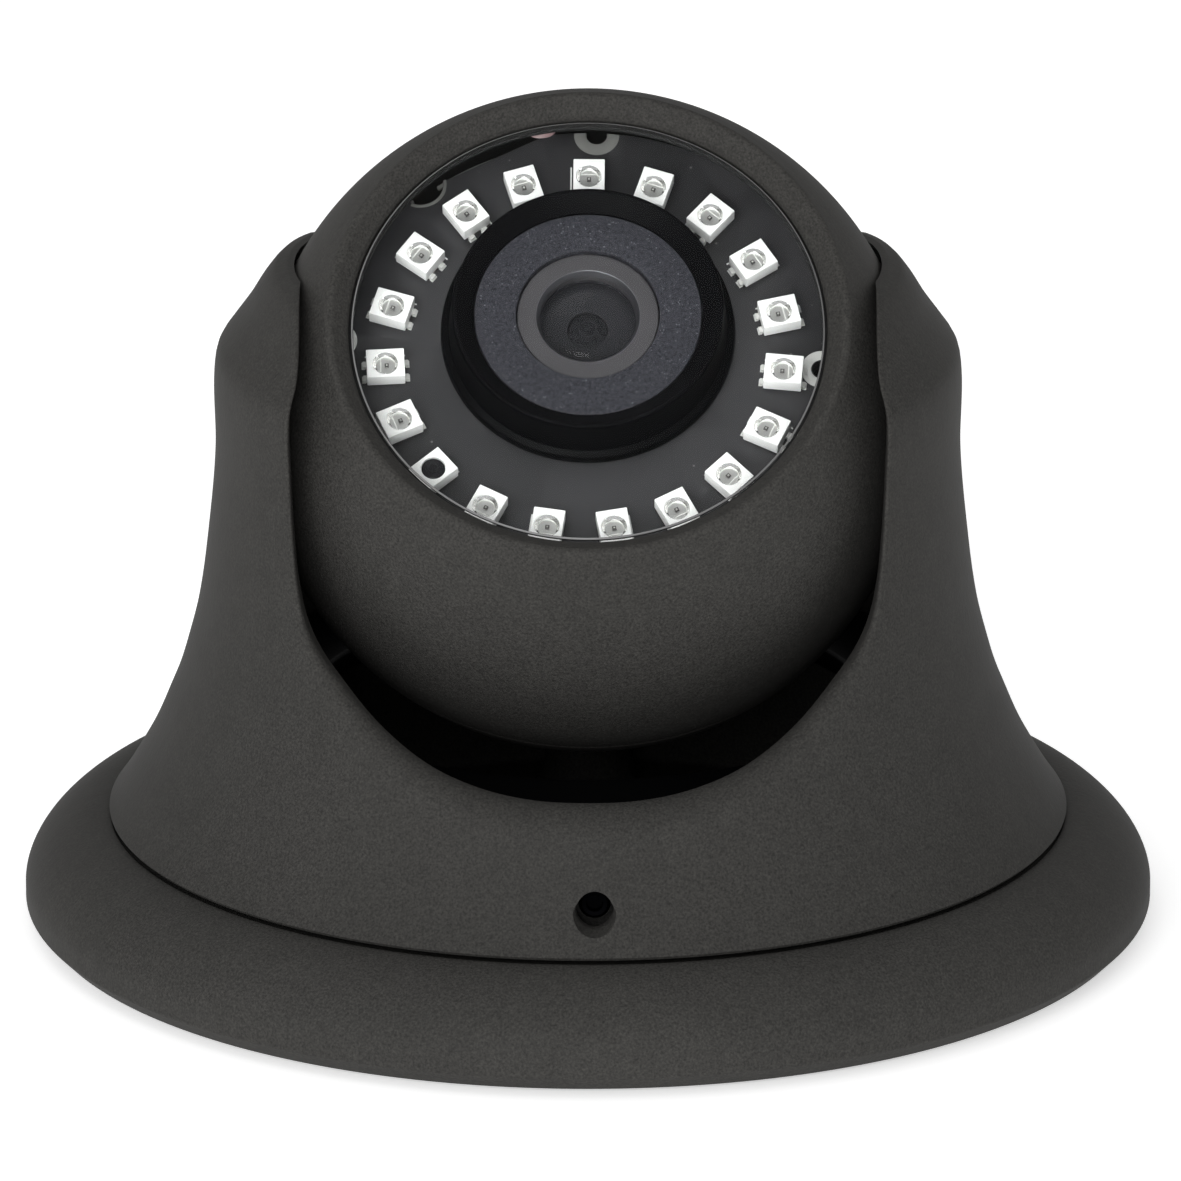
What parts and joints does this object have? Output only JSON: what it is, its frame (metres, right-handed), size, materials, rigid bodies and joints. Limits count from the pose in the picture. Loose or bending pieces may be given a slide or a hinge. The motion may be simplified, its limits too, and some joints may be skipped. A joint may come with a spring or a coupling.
{
  "type": "turret security camera",
  "caption": "Eyeball security camera: a ball with a window, infrared lamps and a hooded lens tilts between the two ears of a bell-shaped cover that turns on a round wall base.",
  "frame": {"origin": "centre of the underside of the round base, on the face that meets the wall or ceiling", "axes": "+Z out of the wall along the turning axis of the cover; the window faces -Y and up; +X to the right as seen from the window's side"},
  "size_m": [0.1052, 0.1052, 0.0779],
  "materials": {
    "powder_coat": "dark grey, fine matte powder coat",
    "black_plastic": "satin black",
    "rubber": "matte black",
    "nylon": "natural white",
    "steel": "zinc plated",
    "window_glass": "clear, polished",
    "circuit_board": "black solder mask, satin",
    "led_package": "white package with a clear cup",
    "sensor_package": "glossy black",
    "textured_plate": "dark, fine sparkling grain",
    "lens_metal": "dark grey anodised, satin",
    "lens_glass": "coated, dark",
    "filter_glass": "reddish, polished"
  },
  "bodies": {
    "base": {"base_plate": "powder_coat", "wall_gasket": "rubber", "pan_ring": "black_plastic", "ring_screw_1": "steel", "ring_screw_2": "steel", "ring_screw_3": "steel", "cable_gland": "rubber"},
    "cover": {"turret_cover": "powder_coat", "pan_lock_screw": "steel", "pivot_pin_l": "steel", "pivot_pin_r": "steel", "pivot_washer_l": "nylon", "pivot_washer_r": "nylon"},
    "ball": {"ball_front": "powder_coat", "ball_rear": "powder_coat", "ball_seal": "rubber", "ball_cable_seal": "rubber", "glass_gasket": "rubber", "lens_hood": "black_plastic", "lens_holder": "black_plastic", "board_post_a": "nylon", "board_post_b": "nylon", "board_post_c": "nylon", "front_glass": "window_glass", "led_board": "circuit_board", "sensor_board": "circuit_board", "led_01": "led_package", "led_02": "led_package", "led_03": "led_package", "led_04": "led_package", "led_05": "led_package", "led_06": "led_package", "led_07": "led_package", "led_08": "led_package", "led_09": "led_package", "led_10": "led_package", "led_11": "led_package", "led_12": "led_package", "led_13": "led_package", "led_14": "led_package", "led_15": "led_package", "led_16": "led_package", "led_17": "led_package", "led_18": "led_package", "light_sensor": "sensor_package", "image_sensor": "sensor_package", "lens_plate": "textured_plate", "lens_barrel": "lens_metal", "lens_front": "lens_glass"},
    "filter": {"ir_filter_slide": "black_plastic", "ir_filter_glass": "filter_glass"}
  },
  "joints": [
    {"name": "pan", "type": "hinge", "parent": "base", "child": "cover", "pos_m": [0, 0, 0], "axis": [0, 0, 1], "range_deg": [-175, 175]},
    {"name": "tilt", "type": "hinge", "parent": "cover", "child": "ball", "pos_m": [0, 0, 0.0473], "axis": [1, 0, 0], "range_deg": [-44, 28]},
    {"name": "filter_slide", "type": "slide", "parent": "ball", "child": "filter", "axis": [1, 0, 0], "range_m": [0, 0.0064]}
  ]
}
